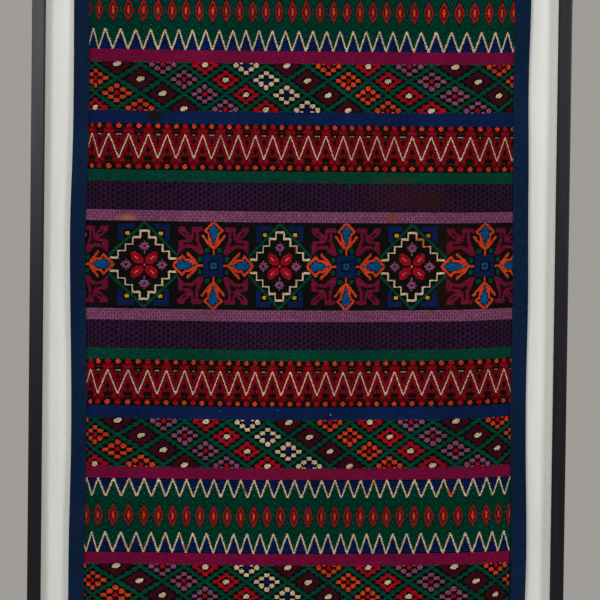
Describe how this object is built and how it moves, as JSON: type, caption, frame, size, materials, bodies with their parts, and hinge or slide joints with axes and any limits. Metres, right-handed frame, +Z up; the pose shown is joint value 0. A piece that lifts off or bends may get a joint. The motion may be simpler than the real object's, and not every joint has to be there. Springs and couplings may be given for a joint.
{
  "type": "woven textile panel in a box frame",
  "caption": "Banded hand-woven textile panel with a folded navy binding, mounted on a pale board inside a slim black box frame that hangs on a wall.",
  "frame": {"origin": "middle of the top rail's back face, where the frame lies against the wall", "axes": "+Z up the frame's length, +Y back into the wall, +X to the right seen from the front; the front faces -Y"},
  "size_m": [0.535, 0.028, 1.027],
  "materials": {
    "woven_cloth": "banded hand weave with raised brocade",
    "navy_binding": "plain woven cotton tape",
    "mount_board": "fine off-white cloth covering",
    "black_moulding": "satin black stain",
    "pale_spacer": "matte off-white paint"
  },
  "bodies": {
    "root": {"woven_panel": "woven_cloth", "binding_left": "navy_binding", "binding_right": "navy_binding", "binding_top": "navy_binding", "binding_bottom": "navy_binding", "mount_board": "mount_board", "rail_top": "black_moulding", "rail_right": "black_moulding", "rail_bottom": "black_moulding", "rail_left": "black_moulding", "spacer_top": "pale_spacer", "spacer_right": "pale_spacer", "spacer_bottom": "pale_spacer", "spacer_left": "pale_spacer"}
  },
  "joints": []
}
